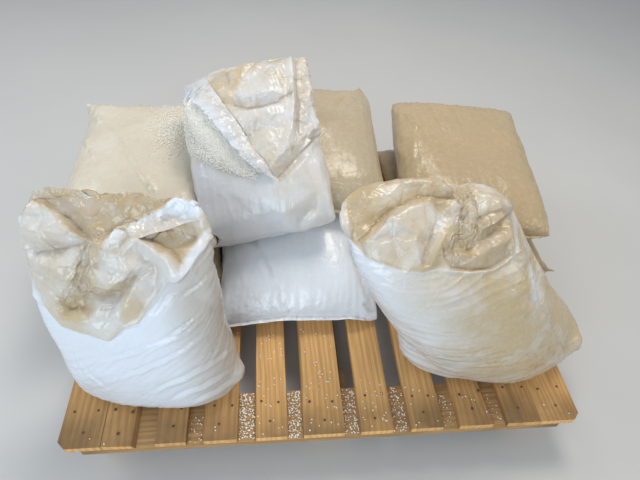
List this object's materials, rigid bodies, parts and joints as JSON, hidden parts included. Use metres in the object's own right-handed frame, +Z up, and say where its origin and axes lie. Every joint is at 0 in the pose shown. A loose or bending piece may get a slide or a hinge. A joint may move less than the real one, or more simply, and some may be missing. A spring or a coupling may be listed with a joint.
{
  "type": "pallet of sacks",
  "caption": "Wooden block pallet loosely loaded with plastic-film sacks of pellets, some lying, some standing, one torn and one open at its mouth.",
  "frame": {"origin": "on the floor, under the middle of the pallet, on the underside of the centre bottom board", "axes": "+Z up, +X along the pallet's long side to the right as seen from its front edge, +Y from the front edge to the back edge"},
  "size_m": [1.4983, 1.1331, 0.6914],
  "materials": {
    "deck_wood": "matte",
    "frame_wood": "matte",
    "white_film": "satin",
    "cream_film": "satin",
    "dusty_film": "satin",
    "pellets": "satin"
  },
  "bodies": {
    "root": {"deck_board_01": "deck_wood", "deck_board_02": "deck_wood", "deck_board_03": "deck_wood", "deck_board_04": "deck_wood", "deck_board_05": "deck_wood", "deck_board_06": "deck_wood", "deck_board_07": "deck_wood", "deck_board_08": "deck_wood", "deck_board_09": "deck_wood", "deck_board_10": "deck_wood", "deck_board_11": "deck_wood", "stringer_board_front": "frame_wood", "stringer_board_middle": "frame_wood", "stringer_board_back": "frame_wood", "block_front_left": "frame_wood", "block_middle_left": "frame_wood", "block_back_left": "frame_wood", "block_front_centre": "frame_wood", "block_middle_centre": "frame_wood", "block_back_centre": "frame_wood", "block_front_right": "frame_wood", "block_middle_right": "frame_wood", "block_back_right": "frame_wood", "bottom_board_left": "frame_wood", "bottom_board_centre": "frame_wood", "bottom_board_right": "frame_wood", "sack_lower_left": "dusty_film", "sack_lower_right": "dusty_film", "sack_lower_centre": "white_film", "sack_back_left": "cream_film", "sack_back_centre": "dusty_film", "sack_back_right": "dusty_film", "sack_torn_top": "cream_film", "sack_front_left_open": "white_film", "sack_front_right_tied": "cream_film", "pellet_heap_torn_sack": "pellets", "pellet_heap_open_sack": "pellets"}
  },
  "joints": []
}
